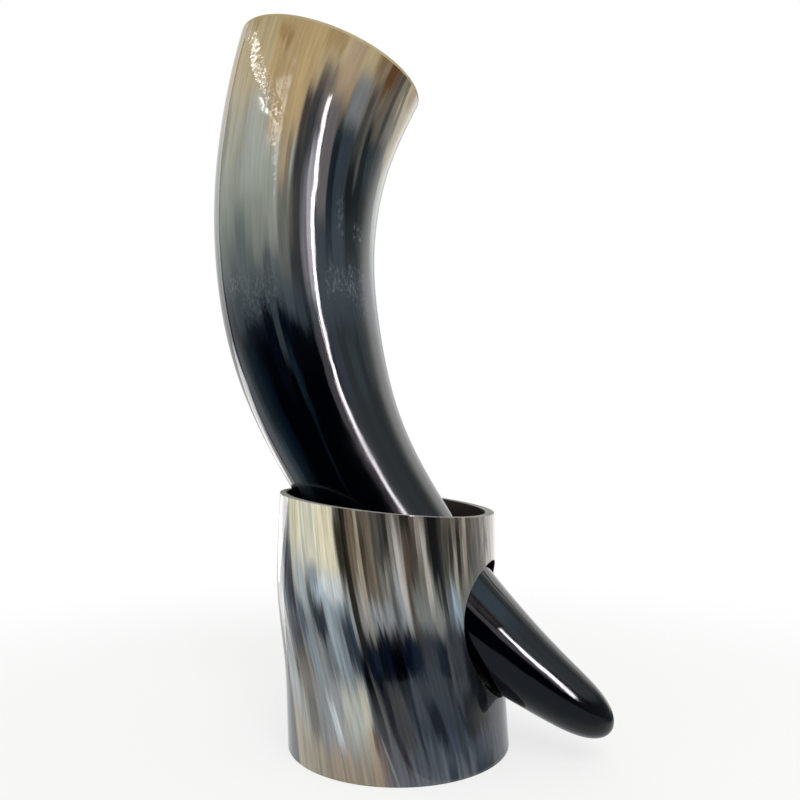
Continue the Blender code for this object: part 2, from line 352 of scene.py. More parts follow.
def stand_wall(name, depth, shift):
    """One face of the wall: a flat sheet, an angle wide and a height tall, opened and rolled up."""
    bpy.ops.mesh.primitive_grid_add(x_subdivisions=SHEET_COLUMNS, y_subdivisions=SHEET_ROWS,
                                    size=1, calc_uvs=False)
    wall = bpy.context.object
    wall.name = name
    bpy.ops.object.mode_set(mode="EDIT")
    bpy.ops.transform.resize(value=(360, SHEET_HEIGHT, 1), center_override=(0, 0, 0))
    bpy.ops.transform.translate(value=(0, SHEET_HEIGHT / 2, 0))
    bpy.ops.mesh.select_mode(type="FACE")
    bpy.ops.mesh.select_all(action="DESELECT")
    bpy.ops.object.mode_set(mode="OBJECT")
    (left, right), (low, high) = HOLE_WINDOW_ANGLES, HOLE_WINDOW_HEIGHTS
    for face in wall.data.polygons:
        face.select = left < face.center.x < right and low < face.center.y < high
    bpy.ops.object.mode_set(mode="EDIT")
    bpy.ops.mesh.delete(type="FACE")
    bpy.ops.mesh.select_mode(type="EDGE")
    bpy.ops.mesh.select_all(action="DESELECT")
    bpy.ops.object.mode_set(mode="OBJECT")
    for edge in wall.data.edges:
        middle = edge_middle(wall, edge)
        on_side = min(abs(middle.x - left), abs(middle.x - right)) < ANGLE_SLACK
        on_end = min(abs(middle.y - low), abs(middle.y - high)) < HEIGHT_SLACK
        inside_x = left - ANGLE_SLACK < middle.x < right + ANGLE_SLACK
        inside_y = low - HEIGHT_SLACK < middle.y < high + HEIGHT_SLACK
        edge.select = inside_x and inside_y and (on_side or on_end)
    centre_angle = (hole_edge(0, depth, shift)[0] + hole_edge(pi, depth, shift)[0]) / 2
    centre_height = (hole_edge(pi / 2, depth, shift)[1] + hole_edge(-pi / 2, depth, shift)[1]) / 2
    for ring in range(HOLE_RINGS):
        bpy.ops.object.mode_set(mode="EDIT")
        bpy.ops.mesh.extrude_region_move(TRANSFORM_OT_translate={"value": (0, 0, 0)})
        bpy.ops.object.mode_set(mode="OBJECT")
        for vertex in wall.data.vertices:
            if vertex.select:
                across = radians(vertex.co.x - centre_angle) * STAND_RADII[0][1]
                turn = atan2(vertex.co.y - centre_height, across)
                goal = Vector((*hole_edge(turn, depth, shift), 0))
                vertex.co = vertex.co.lerp(goal, 1 / (HOLE_RINGS - ring))
    for vertex in wall.data.vertices:
        angle, height = radians(vertex.co.x), vertex.co.y
        if height > high:
            fall = RIM_FALL * sin(angle) + RIM_RISE * cos(angle)
            rim = STAND_HEIGHT - through(STAND_RADII, STAND_HEIGHT) * fall
            height = high + (height - high) / (SHEET_HEIGHT - high) * (rim - high)
        vertex.co = wall_point(angle, height, depth, shift)
    bpy.ops.object.mode_set(mode="EDIT")
    bpy.ops.mesh.select_all(action="SELECT")
    bpy.ops.mesh.remove_doubles(threshold=0.00001)
    bpy.ops.object.mode_set(mode="OBJECT")
    wall.select_set(False)
    return wall


def beside_hole(point):
    return point.x > HOLE_SIDE and HOLE_SPAN[0] < point.z < HOLE_SPAN[1]


stand = stand_wall("stand", 0.0, 0.0)
bore = stand_wall("stand_bore", STAND_WALL, STAND_BORE_SHIFT)
bore.data.flip_normals()
bpy.ops.object.select_all(action="DESELECT")
bore.select_set(True)
stand.select_set(True)
bpy.context.view_layer.objects.active = stand
bpy.ops.object.join()
for ends in (
    lambda point: point.z < FOOT_TOP,
    beside_hole,
    lambda point: point.z > FOOT_TOP and not beside_hole(point),
):
    bpy.ops.object.mode_set(mode="EDIT")
    bpy.ops.mesh.select_mode(type="EDGE")
    bpy.ops.mesh.select_all(action="DESELECT")
    bpy.ops.mesh.select_non_manifold(extend=False, use_wire=False, use_boundary=True,
                                     use_multi_face=False, use_non_contiguous=False, use_verts=False)
    bpy.ops.object.mode_set(mode="OBJECT")
    for edge in stand.data.edges:
        if edge.select:
            edge.select = ends(edge_middle(stand, edge))
    bpy.ops.object.mode_set(mode="EDIT")
    bpy.ops.mesh.bridge_edge_loops()
bpy.ops.mesh.select_all(action="SELECT")
bpy.ops.mesh.normals_make_consistent(inside=False)
bpy.ops.mesh.select_all(action="DESELECT")
bpy.ops.mesh.edges_select_sharp(sharpness=SHARP_EDGE)
bpy.ops.mesh.bevel(offset=STAND_EDGE_ROUNDING, segments=3, affect="EDGES")
bpy.ops.object.mode_set(mode="OBJECT")
bpy.ops.object.shade_smooth_by_angle(angle=SMOOTH_EDGE)


def lay_grain(piece, angles, lengths):
    """Grain map of a piece: across it angles from the front, in degrees, along it lengths in mm."""
    mesh = piece.data
    corners = np.empty(len(mesh.loops), int)
    firsts = np.empty(len(mesh.polygons), int)
    counts = np.empty(len(mesh.polygons), int)
    mesh.loops.foreach_get("vertex_index", corners)
    mesh.polygons.foreach_get("loop_start", firsts)
    mesh.polygons.foreach_get("loop_total", counts)
    first = np.repeat(angles[corners[firsts]], counts)
    across = first + (angles[corners] - first + 180) % 360 - 180
    grain = mesh.uv_layers.new(name="grain")
    grain.data.foreach_set("uv", np.column_stack((across, lengths[corners])).ravel())


def points_of(piece):
    points = np.empty(len(piece.data.vertices) * 3)
    piece.data.vertices.foreach_get("co", points)
    return points.reshape(-1, 3)


points = points_of(stand)
middles = np.array([through(STAND_MIDDLES, height) for height in points[:, 2]])
angles = np.degrees(np.arctan2(points[:, 0] - middles, -points[:, 1]))
lay_grain(stand, angles, (STAND_HEIGHT - points[:, 2]) * 1000)

# Polished horn: cattle horn scraped, sanded and buffed to a gloss. Keratin grows in fibres along the
# horn, so its colours run in streaks with ragged ends, under a clear and slightly wavy surface.
# Fibres are about 0.3 mm wide; here they are drawn 1 mm wide so that they show. Lengths are in mm
# and angles in degrees.
FIBRE_WIDTH, FIBRE_LENGTH = 1.1, 30
BAND_WIDTH = 6
PATTERN_RADIUS = 36
FIBRE_SWING, BAND_SWING = 1.6, 2.2
FIBRE_REACH, BAND_REACH = 16.0, 8.0
STREAK_BLUR, BLUR_SHARE = 1.5, 0.28
STREAK_FADE = 8
OFF_THE_RIM = -9
REAR_ANGLES, REAR_BANDS = (95, 125), (0.5, 5.0)
POLISH_WIDTH, POLISH_ROUGHNESS = 9, (0.03, 0.09)
WAVE_LENGTH = 14
FIBRE_RELIEF, WAVE_RELIEF = 0.012, 0.12
SCUFF_GREY = "#9AA0A2"
SCUFF_WIDTH, SCUFF_STRETCH = 1.2, 0.45
RIPPLE_LENGTH = 1.2
RIPPLE_SLANT, RIPPLE_STRETCH = 0.7, 0.28
MM_PER_DEGREE = 0.66
HORN_IOR = 1.54


def polished_horn(name, ground, flow, spread, contrast, streaks, scuffs=(), scales=(), rubs=()):
    """Horn with ground colours along it, listed streaks over them, and marks of wear.

    Flow is how many degrees the grain leans for each mm, spread how far it fans out, and contrast how
    much its fibres differ. A streak is its angle, its lean in degrees per 100 mm, half its width in
    degrees, where it starts and ends in mm, its colour, and how much of the ground it covers. One that
    starts off the rim doesn't fade in. The others are placed in the same way: scuffs are pale specks
    with a cover, scales are ripples in the polish with a height in mm, and rubs are dulled stretches
    with the roughness that they add and, where given, the degrees that their sides fade over.
    """
    surface = bpy.data.materials.new(name)
    surface.use_nodes = True
    tree = surface.node_tree
    shader = tree.nodes["Principled BSDF"]
    place = lay(tree, "SeparateXYZ", {0: lay(tree, "UVMap", {}, uv_map="grain")})
    angle, length = place.outputs["X"], place.outputs["Y"]
    lean = lay(tree, "Math", {0: length, 1: -flow, 2: angle}, operation="MULTIPLY_ADD")
    turn = lay(tree, "Math", {0: lean}, operation="RADIANS")
    ahead = lay(tree, "Math", {0: turn}, operation="COSINE")
    ahead = lay(tree, "Math", {0: ahead, 1: PATTERN_RADIUS}, operation="MULTIPLY")
    aside = lay(tree, "Math", {0: turn}, operation="SINE")
    aside = lay(tree, "Math", {0: aside, 1: PATTERN_RADIUS}, operation="MULTIPLY")
    along = lay(tree, "Math", {0: length, 1: FIBRE_WIDTH / FIBRE_LENGTH}, operation="MULTIPLY")
    run = lay(tree, "CombineXYZ", {0: ahead, 1: aside, 2: along})
    skin = lay(tree, "CombineXYZ", {0: ahead, 1: aside, 2: length})
    fibre = lay(tree, "TexNoise", {"Vector": run, "Scale": 1 / FIBRE_WIDTH, "Detail": 3.0, "Roughness": 0.6})
    band = lay(tree, "TexNoise", {"Vector": run, "Scale": 1 / BAND_WIDTH, "Detail": 2.0})
    widen = lay(tree, "Math", {0: length, 1: spread}, operation="MULTIPLY")
    swing = lay(tree, "Math", {0: angle, 1: widen, 2: lean}, operation="MULTIPLY_ADD")
    swing = lay(tree, "Math", {0: fibre, 1: FIBRE_SWING, 2: swing}, operation="MULTIPLY_ADD")
    swing = lay(tree, "Math", {0: band, 1: BAND_SWING, 2: swing}, operation="MULTIPLY_ADD")
    ragged_angle = lay(tree, "Math", {0: swing, 1: (FIBRE_SWING + BAND_SWING) / 2}, operation="SUBTRACT")
    reach = lay(tree, "Math", {0: fibre, 1: FIBRE_REACH, 2: length}, operation="MULTIPLY_ADD")
    reach = lay(tree, "Math", {0: band, 1: BAND_REACH, 2: reach}, operation="MULTIPLY_ADD")
    ragged_length = lay(tree, "Math", {0: reach, 1: (FIBRE_REACH + BAND_REACH) / 2}, operation="SUBTRACT")

    def patch(middle, lean, half, start, end, cover, blur=STREAK_BLUR):
        """Mask of one streak: soft across, and fading out over some of its length."""
        centre = lay(tree, "Math", {0: length, 1: lean / 100, 2: middle}, operation="MULTIPLY_ADD")
        off = lay(tree, "Math", {0: ragged_angle, 1: centre}, operation="SUBTRACT")
        off = lay(tree, "Math", {0: off}, operation="ABSOLUTE")
        soft = min(blur, half * BLUR_SHARE)
        mask = lay(tree, "MapRange", {"Value": off, "From Min": half + soft, "From Max": half - soft,
                                      "To Max": cover}, interpolation_type="SMOOTHSTEP", clamp=False)
        fade = min(STREAK_FADE, (end - start) / 3)
        for near, far in ((start - fade, start + fade), (end + fade, end - fade)):
            if near > OFF_THE_RIM:
                stop = lay(tree, "MapRange", {"Value": ragged_length, "From Min": near, "From Max": far},
                           interpolation_type="SMOOTHSTEP", clamp=False)
                mask = lay(tree, "Math", {0: mask, 1: stop}, operation="MULTIPLY")
        return mask

    last = ground[-1][0]
    share = lay(tree, "Math", {0: ragged_length, 1: 1 / last}, operation="MULTIPLY")
    ramp = lay(tree, "ValToRGB", {0: share}, [(stop / last, linear(hue)) for stop, hue in ground])
    colour = ramp.outputs["Color"]
    for *place, hue, cover in streaks:
        mix = lay(tree, "Mix", {0: patch(*place, cover), 6: colour, 7: linear(hue)}, data_type="RGBA")
        colour = mix.outputs[2]
    rear = lay(tree, "Math", {0: angle}, operation="ABSOLUTE")
    rear = lay(tree, "MapRange", {"Value": rear, "From Min": REAR_ANGLES[0], "From Max": REAR_ANGLES[1],
                                  "To Min": REAR_BANDS[0], "To Max": REAR_BANDS[1]})
    stripe = lay(tree, "Math", {0: band, 1: 0.5}, operation="SUBTRACT")
    shade = lay(tree, "MapRange", {"Value": fibre, "From Min": 0.25, "From Max": 0.75,
                                   "To Min": 1 - contrast, "To Max": 1 + contrast})
    shade = lay(tree, "Math", {0: stripe, 1: rear, 2: shade}, operation="MULTIPLY_ADD")
    colour = lay(tree, "HueSaturation", {"Value": shade, "Color": colour}).outputs[0]

    polish = lay(tree, "TexNoise", {"Vector": skin, "Scale": 1 / POLISH_WIDTH, "Detail": 4.0})
    polish = lay(tree, "MapRange", {"Value": polish, "From Min": 0.3, "From Max": 0.7,
                                    "To Min": POLISH_ROUGHNESS[0], "To Max": POLISH_ROUGHNESS[1]})
    for rub in rubs:
        polish = lay(tree, "Math", {0: polish, 1: patch(*rub)}, operation="ADD")
    wave = lay(tree, "TexNoise", {"Vector": skin, "Scale": 1 / WAVE_LENGTH, "Detail": 1.0})
    height = lay(tree, "Math", {0: fibre, 1: FIBRE_RELIEF}, operation="MULTIPLY")
    height = lay(tree, "Math", {0: wave, 1: WAVE_RELIEF, 2: height}, operation="MULTIPLY_ADD")
    if scuffs:
        tick = lay(tree, "Math", {0: length, 1: SCUFF_STRETCH}, operation="MULTIPLY")
        tick = lay(tree, "CombineXYZ", {0: ahead, 1: aside, 2: tick})
        speckle = lay(tree, "TexNoise", {"Vector": tick, "Scale": 1 / SCUFF_WIDTH, "Detail": 4.0,
                                         "Roughness": 0.7})
        speckle = lay(tree, "MapRange", {"Value": speckle, "From Min": 0.46, "From Max": 0.80})
    for scuff in scuffs:
        rub = lay(tree, "Math", {0: speckle, 1: patch(*scuff)}, operation="MULTIPLY")
        colour = lay(tree, "Mix", {0: rub, 6: colour, 7: linear(SCUFF_GREY)}, data_type="RGBA").outputs[2]
    if scales:
        around = lay(tree, "Math", {0: angle, 1: MM_PER_DEGREE}, operation="MULTIPLY")
        aslant = lay(tree, "Math", {0: around, 1: RIPPLE_SLANT, 2: length}, operation="MULTIPLY_ADD")
        onward = lay(tree, "Math", {0: length, 1: -RIPPLE_SLANT, 2: around}, operation="MULTIPLY_ADD")
        onward = lay(tree, "Math", {0: onward, 1: RIPPLE_STRETCH}, operation="MULTIPLY")
        ripples = lay(tree, "CombineXYZ", {0: aslant, 1: onward})
        ripples = lay(tree, "TexNoise", {"Vector": ripples, "Scale": 1 / RIPPLE_LENGTH, "Detail": 0.6})
    for *place, ripple in scales:
        crests = lay(tree, "Math", {0: ripples, 1: patch(*place, ripple)}, operation="MULTIPLY")
        height = lay(tree, "Math", {0: height, 1: crests}, operation="ADD")
    bump = lay(tree, "Bump", {"Height": height, "Strength": 1.0, "Distance": 0.001})
    tree.links.new(colour, shader.inputs["Base Color"])
    tree.links.new(polish.outputs[0], shader.inputs["Roughness"])
    tree.links.new(bump.outputs[0], shader.inputs["Normal"])
    shader.inputs["IOR"].default_value = HORN_IOR
    return surface


# Scraped horn: the inside of a bored horn and its sawn ends, left unpolished. The tool scores it
# around, so it is dull, with faint rings across the grain. Sizes are in mm.
SCORE_RADIUS, SCORE_WIDTH = 4, 1.6
SCORE_REACH = 16.0
SCORE_ROUGHNESS = (0.45, 0.75)
SCORE_SHINE = 0.15


def scraped_bore(name, ground):
    """Dull horn, scored around by the tool, with colours along it."""
    surface = bpy.data.materials.new(name)
    surface.use_nodes = True
    tree = surface.node_tree
    shader = tree.nodes["Principled BSDF"]
    place = lay(tree, "SeparateXYZ", {0: lay(tree, "UVMap", {}, uv_map="grain")})
    turn = lay(tree, "Math", {0: place.outputs["X"]}, operation="RADIANS")
    ahead = lay(tree, "Math", {0: turn}, operation="COSINE")
    ahead = lay(tree, "Math", {0: ahead, 1: SCORE_RADIUS}, operation="MULTIPLY")
    aside = lay(tree, "Math", {0: turn}, operation="SINE")
    aside = lay(tree, "Math", {0: aside, 1: SCORE_RADIUS}, operation="MULTIPLY")
    skin = lay(tree, "CombineXYZ", {0: ahead, 1: aside, 2: place.outputs["Y"]})
    score = lay(tree, "TexNoise", {"Vector": skin, "Scale": 1 / SCORE_WIDTH, "Detail": 3.0})
    last = ground[-1][0]
    ragged = lay(tree, "Math", {0: score, 1: SCORE_REACH, 2: place.outputs["Y"]}, operation="MULTIPLY_ADD")
    share = lay(tree, "Math", {0: ragged, 1: 1 / last}, operation="MULTIPLY")
    ramp = lay(tree, "ValToRGB", {0: share}, [(stop / last, linear(hue)) for stop, hue in ground])
    shade = lay(tree, "MapRange", {"Value": score, "From Min": 0.25, "From Max": 0.75, "To Min": 0.75,
                                   "To Max": 1.25})
    colour = lay(tree, "HueSaturation", {"Value": shade, "Color": ramp})
    dull = lay(tree, "MapRange", {"Value": score, "To Min": SCORE_ROUGHNESS[0],
                                  "To Max": SCORE_ROUGHNESS[1]})
    bump = lay(tree, "Bump", {"Height": score, "Strength": 0.4, "Distance": 0.0004})
    tree.links.new(colour.outputs[0], shader.inputs["Base Color"])
    tree.links.new(dull.outputs[0], shader.inputs["Roughness"])
    tree.links.new(bump.outputs[0], shader.inputs["Normal"])
    shader.inputs["IOR"].default_value = HORN_IOR
    shader.inputs["Specular IOR Level"].default_value = SCORE_SHINE
    return surface


def middles_of(piece):
    middles = np.empty(len(piece.data.polygons) * 3)
    piece.data.polygons.foreach_get("center", middles)
    return middles.reshape(-1, 3)


STAND_GROUND = ((0, "#5C564D"), (30, "#6C6A64"), (38, "#6E7274"), (44, "#2A2E33"), (49, "#10151E"),
                (56, "#10161F"), (61, "#2A2E35"), (66, "#30353B"), (74, "#2E333B"), (80, "#424850"),
                (90, "#545860"))
STAND_STREAKS = (
    # Left flank: grey, ivory over its upper third, tan along its foot, and near-white at its far edge, which
    # is pale horn with a painted reflection on it
    (-24, 0, 17, 22, 99, "#84888A", 0.95),
    (-24, 0, 17, -9, 26, "#D9D6C2", 0.95),
    (-24, 0, 18, 81, 99, "#8B7E6B", 0.9),
    # Near-white down the far left edge: pale horn with a painted reflection of the white surroundings
    (-58, 0, 7, -9, 48, "#F4F2F0", 0.95),
    (-60, 0, 6, 44, 74, "#BEC4C6", 0.8),
    (-58, 0, 8, 70, 99, "#B9B19B", 0.85),
    (-50, 0, 9, 76, 99, "#9C9482", 0.85),
    (-52, 0, 4, 60, 78, "#A0A19E", 0.8),
    # Straw and cream in the ivory
    (-33, 0, 3.5, -9, 13, "#DBD7B2", 0.7),
    (-13, 0, 4.5, -9, 22, "#DBD2B6", 0.8),
    (-22, 0, 2.5, 6, 20, "#C4C4B4", 0.5),
    # Grey threads and the navy wedge left of the ivory
    (-45.5, 0, 1.5, 4, 14, "#7C7C7B", 0.7),
    (-42.5, 0, 1.5, -9, 13, "#A5A4A2", 0.7),
    (-52, 0, 2.5, 22, 50, "#7F8994", 0.8),
    (-44.5, 0, 4.5, 12, 24, "#46515C", 0.85),
    (-47, 0, 1.5, 10, 17, "#3A4148", 0.7),
    (-44, 0, 3.5, 20, 38, "#05142C", 0.95),
    (-48.5, 0, 1.8, 26, 38, "#2E4050", 0.8),
    (-46, 0, 6, 38, 50, "#4E535B", 0.85),
    (-45, 0, 7, 49, 66, "#7A766F", 0.85),
    (-44, 0, 4, 66, 77, "#6A6A63", 0.85),
    # Silver and blue blotches under the ivory
    (-34, 0, 3.5, 18, 36, "#B0BBC2", 0.8),
    (-15, 0, 7, 24, 34, "#CDD4D6", 0.85),
    (-24, 0, 3.5, 21, 30, "#808D96", 0.8),
    (-21, 0, 3, 28, 34, "#A5B5C2", 0.7),
    (-28, 0, 1, 12, 40, "#8D949C", 0.6),
    (-28, 0, 1.3, 27, 42, "#34424E", 0.8),
    (-14, 0, 6, 32, 38, "#93A3AE", 0.7),
    (-37, 0, 2.5, 33, 46, "#4A525D", 0.8),
    (-24, 0, 3.7, 34, 46, "#1E2A33", 0.9),
    (-10, 0, 2.6, 36, 54, "#27333D", 0.9),
    (-7.5, 0, 1.5, 36, 58, "#26333F", 0.85),
    (-34, 0, 2.6, 42, 60, "#8795A0", 0.75),
    (-23, 0, 3.5, 46, 58, "#62686F", 0.7),
    (-17.5, 0, 2.3, 36, 58, "#93A1A8", 0.85),
    (-14, 0, 1.5, 38, 60, "#818F97", 0.7),
    # Pale and tan lower left
    (-15, 0, 7, 60, 78, "#B0B3A9", 0.8),
    (-9.5, 0, 2, 58, 72, "#B9B4A6", 0.8),
    (-44.2, 22, 1.9, 66, 80, "#BCC3C7", 0.85),
    (-22, 0, 2, 70, 78, "#94928B", 0.6),
    (-12, 0, 4, 74, 84, "#97907F", 0.5),
    (-9, 0, 2, 73, 99, "#93836E", 0.8),
    # Stripes under the rim, from the dark one beside the ivory to the tip hole
    (-7.5, 0, 1.2, 6, 20, "#5A5848", 0.7),
    (-5.4, 0, 2.3, 3, 26, "#2E2B21", 0.95),
    (-5.2, 0, 1.0, 28, 46, "#8F979C", 0.8),
    (-3, 0, 1.4, -9, 48, "#1F1D17", 0.95),
    (-1, 0, 0.9, -9, 34, "#564C3F", 0.8),
    (1, 0, 0.9, -9, 30, "#6C5F4D", 0.8),
    (5, 0, 1.0, 4, 28, "#433A2C", 0.85),
    (7.5, 0, 1.6, -9, 30, "#635A4C", 0.7),
    (9.3, 0, 0.9, -9, 30, "#726757", 0.6),
    (2, 0, 3, 28, 43, "#8F8E8C", 0.75),
    (3.1, 0, 0.9, -9, 40, "#9C9180", 0.85),
    (3.2, 0, 0.9, 18, 36, "#AEA595", 0.7),
    (11.5, 0, 1.5, -9, 18, "#464541", 0.75),
    (13, 0, 1, 10, 20, "#4B4947", 0.6),
    (15, 0, 1.5, -9, 19, "#343536", 0.85),
    (15, 0, 0.8, 19, 30, "#93908A", 0.6),
    (9, 0, 6, 31, 40, "#8E9395", 0.7),
    (17, 0, 1.2, -9, 18, "#242523", 0.9),
    (17, 0, 0.9, 24, 44, "#4A5055", 0.7),
    (19, 0, 0.9, -9, 34, "#6E6C67", 0.6),
    (19, 0, 0.9, 22, 32, "#94979A", 0.6),
    (21.5, 0, 2.5, 26, 40, "#8B939B", 0.7),
    (20.6, 6, 1.2, 6, 40, "#A6A4A1", 0.85),
    (22.8, 0, 1.3, 12, 34, "#AFA9A5", 0.8),
    (26.3, 0, 2.0, -9, 12, "#15160F", 0.9),
    (26.5, 0, 1.8, 10, 44, "#44392F", 0.85),
    (26, 0, 0.8, 16, 24, "#5C4535", 0.6),
    (29.5, 0, 1.4, 4, 24, "#443D39", 0.8),
    (29.5, 0, 1.6, 22, 42, "#5E5F5C", 0.7),
    (33, 0, 6, 28, 43, "#727674", 0.6),
    (32, 0, 1.1, -9, 18, "#8F887E", 0.8),
    (34.2, 4, 1.4, 4, 36, "#A6A29B", 0.9),
    (36.8, 0, 1.3, -9, 20, "#232320", 0.85),
    (36.0, 8, 1.3, 22, 42, "#7B7C79", 0.7),
    (39.8, 3, 2.7, -9, 30, "#010102", 0.97),
    (38.5, 0, 3, 34, 45, "#757874", 0.6),
    (43, 0, 1.4, -9, 42, "#1B1F20", 0.85),
    (46, 0, 1.5, 6, 28, "#2A2A24", 0.8),
    (46.5, 0, 2, 30, 44, "#525A63", 0.7),
    (49, 0, 1.1, 6, 22, "#251F16", 0.85),
    # Pale blue-grey beside the tip hole's edge: a painted highlight along the hole's rim
    (50, 0, 2.5, 27, 41, "#8DA0AE", 0.85),
    (51, 0, 1.0, 4, 20, "#5D584F", 0.7),
    (51.3, 0, 1.1, 17, 32, "#A29F98", 0.8),
    (54, 0, 1.2, 4, 27, "#150F09", 0.9),
    (56, 0, 0.9, -9, 24, "#5F5A50", 0.6),
    (58.2, 0, 1.3, -9, 26, "#948C81", 0.85),
    (61, 0, 1.5, 4, 24, "#4A443B", 0.8),
    (64.5, 0, 1.4, -9, 12, "#7B7268", 0.7),
    (64.5, 0, 1.8, 12, 24, "#545354", 0.7),
    (68.5, 0, 2, -9, 24, "#6E6862", 0.7),
    (72.5, 0, 2, -9, 18, "#948E88", 0.8),
    (81, 0, 5, -9, 30, "#A8A098", 0.7),
    (94, 0, 9, -9, 30, "#B9B1A6", 0.8),
    (77, 0, 1.7, 9, 18, "#2F2E2E", 0.85),
    # Black band under the stripes, with grey threads towards the tip hole
    (12.5, 0, 3.2, 43, 62, "#020206", 0.95),
    (18.5, 0, 2.5, 43, 55, "#04081A", 0.9),
    (23.5, 0, 3, 47, 57, "#0A1824", 0.85),
    (8, 0, 2, 44, 58, "#060B1A", 0.85),
    (5, 0, 1.2, 42, 58, "#070C16", 0.9),
    (2, 0, 1.6, 46, 57, "#1A2230", 0.7),
    (-1, 0, 0.9, 46, 57, "#0A121E", 0.8),
    (31, 0, 5, 44, 66, "#33373D", 0.8),
    (36, 0, 2.2, 47, 56, "#121C27", 0.85),
    (44.5, 0, 5, 44, 66, "#393C41", 0.85),
    (40.5, 0, 1, 44, 60, "#4A4C4E", 0.6),
    # Lower right: threads that lean towards the tip, black and brown beside the pale flank
    (-13.2, 15, 1.7, 52, 76, "#030405", 0.95),
    (-13.4, 19, 0.8, 57, 79, "#4C4F4C", 0.85),
    (-4.2, 10, 1.5, 56, 73, "#030406", 0.92),
    (-2.6, 16, 3.4, 60, 80, "#3D3B38", 0.85),
    (-17.9, 30, 1.3, 72, 84, "#241D1F", 0.85),
    (0.8, 22, 0.9, 60, 84, "#151E29", 0.85),
    (6.7, 19, 2.2, 57, 72, "#393D46", 0.8),
    (-7.9, 30, 1.0, 68, 92, "#4C4E52", 0.75),
    (-19, 35, 1.0, 78, 99, "#55565C", 0.7),
    (-20.6, 35, 1.0, 76, 88, "#23242A", 0.7),
    (1.9, 36, 3.2, 66, 79, "#000310", 0.95),
    (13, 30, 2.5, 66, 80, "#262D3A", 0.7),
    (14.2, 40, 1.2, 66, 77, "#0B1526", 0.85),
    # Black under the tip, which is painted shade: the tip's shadow and dark reflection on the wall below the
    # hole. Slate and teal along the foot
    # Painted shade: the tip's shadow and dark reflection on the wall below the hole
    (56, 0, 5, 52, 64, "#000102", 0.95),
    (54, 0, 9.5, 63, 77, "#000001", 0.97),
    (50, 0, 16, 78, 82, "#343B48", 0.8),
    (54, 0, 5, 83, 99, "#081C30", 0.85),
    (33, 0, 2.5, 83, 99, "#1A2936", 0.8),
    (62, 0, 3, 84, 99, "#020716", 0.85),
    (-14.5, 12, 1.5, 77, 99, "#735F52", 0.8),
    (-7.3, 0, 1, 70, 79, "#523B27", 0.8),
    (-32, 37, 0.6, 76, 96, "#8B8177", 0.7),
)
# The stand's bore is painted shade: brown-grey under the rim, going near black further down, where light
# from above does not reach
STAND_BORE_WITH_PAINTED_SHADE = ((0, "#57504A"), (14, "#3A342F"), (30, "#14110F"), (90, "#080706"))
SAWN_HORN = ((0, "#93938F"), (90, "#86847F"))
# How deep in the wall, as a share of it, the sawn ends, the hole's side and the bore begin
SAWN_DEPTH, HOLE_DEPTH, BORE_DEPTH = 0.012, 0.15, 0.75
stand.data.materials.append(polished_horn("polished_horn_striped", STAND_GROUND, flow=0.24, spread=0.0024,
                                          contrast=0.44, streaks=STAND_STREAKS))
stand.data.materials.append(scraped_bore("stand_bore", STAND_BORE_WITH_PAINTED_SHADE))
stand.data.materials.append(scraped_bore("sawn_horn", SAWN_HORN))
centres = middles_of(stand)
offsets = centres[:, 0] - [through(STAND_MIDDLES, height) for height in centres[:, 2]]
depths = [through(STAND_RADII, height) for height in centres[:, 2]] - np.hypot(offsets, centres[:, 1])
kinds = np.where(depths > BORE_DEPTH * STAND_WALL, 1, np.where(depths > SAWN_DEPTH * STAND_WALL, 2, 0))
in_hole = np.array([beside_hole(Vector(centre)) for centre in centres])
# The hole's side takes the bore's colours, with their painted shade
kinds[in_hole & (depths > HOLE_DEPTH * STAND_WALL)] = 1
stand.data.polygons.foreach_set("material_index", kinds.astype(np.int32))
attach(stand, "stand")
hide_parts("horn_stand")


# Cup: one whole cattle horn, bored out from its mouth, scraped thin there and buffed to a gloss.
# Its tip is solid. It stands loose in the stand, with its tip out through the stand's side.
HORN_LENGTH = 0.3152
MOUTH_MIDDLE = Vector((-0.0302, HORN_PLANE_Y, 0.2762))
MOUTH_LEAN, MOUTH_SLOPE = radians(24.8), radians(18.6)
MOUTH_TURN_LENGTH = 0.030
MOUTH_BEND_RADIUS, TIP_BEND_RADIUS = 0.1663, 0.2670
TIP_BLUNTNESS = 19
HORN_RADII = ((0.000, 0.0404), (0.038, 0.0370), (0.079, 0.0344), (0.126, 0.0316), (0.173, 0.0263),
              (0.221, 0.0220), (0.258, 0.0171), (0.293, 0.0131), (0.315, 0.0135))
HORN_WALLS = ((0.000, 0.0032), (0.120, 0.0042), (0.235, 0.0070))
HOLLOW_DEPTH, HOLLOW_BLUNTNESS = 0.235, 12
LIP_ROUNDING, LIP_EDGE = 0.0013, 0.0002
LIP_OVERHANG = 0.0006
TIP_DROOP, TIP_DROOP_START = 0.0012, 0.262
HORN_SIDES = 96
AXIS_STEPS = 60
AXIS_OVERRUN, AXIS_POINTS = 0.01, 600
HOLLOW_RINGS, HOLLOW_CROWDING = 30, 0.8
LIP_RINGS, TIP_RINGS = 3, 16
BEHIND_LIP = (-0.0002, 0.0004, 0.0018)
RING_STEP, TIP_START = 0.004, 0.280
POLE_RADIUS = 0.0004


def horn_lean(length):
    """Angle of the horn's run from straight down, positive towards the tip's side."""
    easing = (1 / TIP_BEND_RADIUS - 1 / MOUTH_BEND_RADIUS) / (2 * HORN_LENGTH)
    return -MOUTH_LEAN + length / MOUTH_BEND_RADIUS + easing * length ** 2


def horn_axis(length):
    """Point on the horn's centreline."""
    step = length / AXIS_STEPS
    point = MOUTH_MIDDLE.copy()
    for i in range(AXIS_STEPS):
        lean = horn_lean((i + 0.5) * step)
        point += Vector((sin(lean), 0, -cos(lean))) * step
    droop = TIP_DROOP * (max(0, length - TIP_DROOP_START) / (HORN_LENGTH - TIP_DROOP_START)) ** 2
    return point - Vector((cos(lean), 0, sin(lean))) * droop


